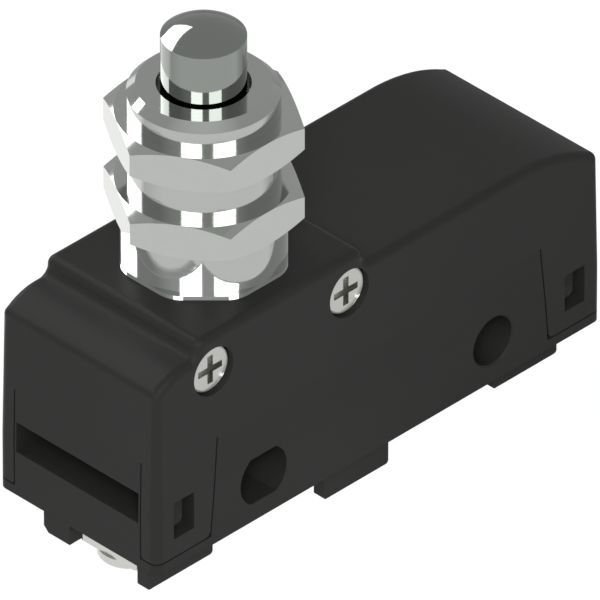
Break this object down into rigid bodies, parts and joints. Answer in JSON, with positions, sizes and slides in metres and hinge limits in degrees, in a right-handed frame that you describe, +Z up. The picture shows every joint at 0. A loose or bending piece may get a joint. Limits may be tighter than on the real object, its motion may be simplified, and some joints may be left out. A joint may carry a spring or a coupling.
{
  "type": "micro switch",
  "caption": "Basic snap-action switch with a black two-part housing, screw terminals underneath and a threaded panel-mount barrel carrying hexagon nuts and a domed plunger.",
  "frame": {"origin": "bottom centre of the whole part's box: middle of the body's length and width, at the lowest tab", "axes": "+X along the body away from the plunger end, +Y away from the side with the clamp screw heads, +Z up along the plunger"},
  "size_m": [0.0492, 0.0176, 0.0444],
  "materials": {
    "black_cover": "fine satin moulding",
    "black_base": "fine satin moulding",
    "plated_barrel": "bright plated",
    "plated_block": "plain plated",
    "plated_nut": "satin plated",
    "steel_plunger": "polished",
    "moulded_button": "moulded",
    "spring_steel": "drawn wire",
    "spring_blade": "rolled copper alloy",
    "contact_metal": "silver",
    "terminal_brass": "stamped",
    "screw_steel": "zinc plated",
    "washer_steel": "zinc plated",
    "clamp_screw_steel": "zinc plated"
  },
  "bodies": {
    "housing": {"cover": "black_cover", "base": "black_base", "threaded_barrel": "plated_barrel", "barrel_block": "plated_block", "lower_nut": "plated_nut", "upper_nut": "plated_nut", "open_contact": "contact_metal", "closed_contact": "contact_metal", "common_terminal": "terminal_brass", "normally_open_terminal": "terminal_brass", "normally_closed_terminal": "terminal_brass", "anchor_block": "terminal_brass", "blade_rivet": "terminal_brass", "terminal_screw_common": "screw_steel", "terminal_screw_open": "screw_steel", "terminal_screw_closed": "screw_steel", "clamp_washer_common": "washer_steel", "clamp_washer_open": "washer_steel", "clamp_washer_closed": "washer_steel", "clamp_screw_left": "clamp_screw_steel", "clamp_screw_right": "clamp_screw_steel"},
    "plunger": {"plunger": "steel_plunger", "overtravel_spring": "spring_steel"},
    "button": {"actuating_button": "moulded_button"},
    "blade": {"snap_blade": "spring_blade", "moving_contact": "contact_metal"}
  },
  "joints": [
    {"name": "plunger_travel", "type": "slide", "parent": "housing", "child": "plunger", "axis": [0, 0, -1], "range_m": [0, 0.0045], "stiffness_N_per_m": 900, "springref_m": -0.002, "deforming": ["overtravel_spring"]},
    {"name": "button_travel", "type": "slide", "parent": "housing", "child": "button", "axis": [0, 0, -1], "range_m": [0, 0.00021]},
    {"name": "blade_swing", "type": "hinge", "parent": "housing", "child": "blade", "pos_m": [-0.0163, 0, 0.01372], "axis": [0, 1, 0], "range_deg": [0, 1.5]}
  ],
  "couplings": [
    {"joint": "button_travel", "follows": "plunger_travel", "ratio": 0.045},
    {"joint": "blade_swing", "follows": "plunger_travel", "rad_per_m": 5.75}
  ]
}
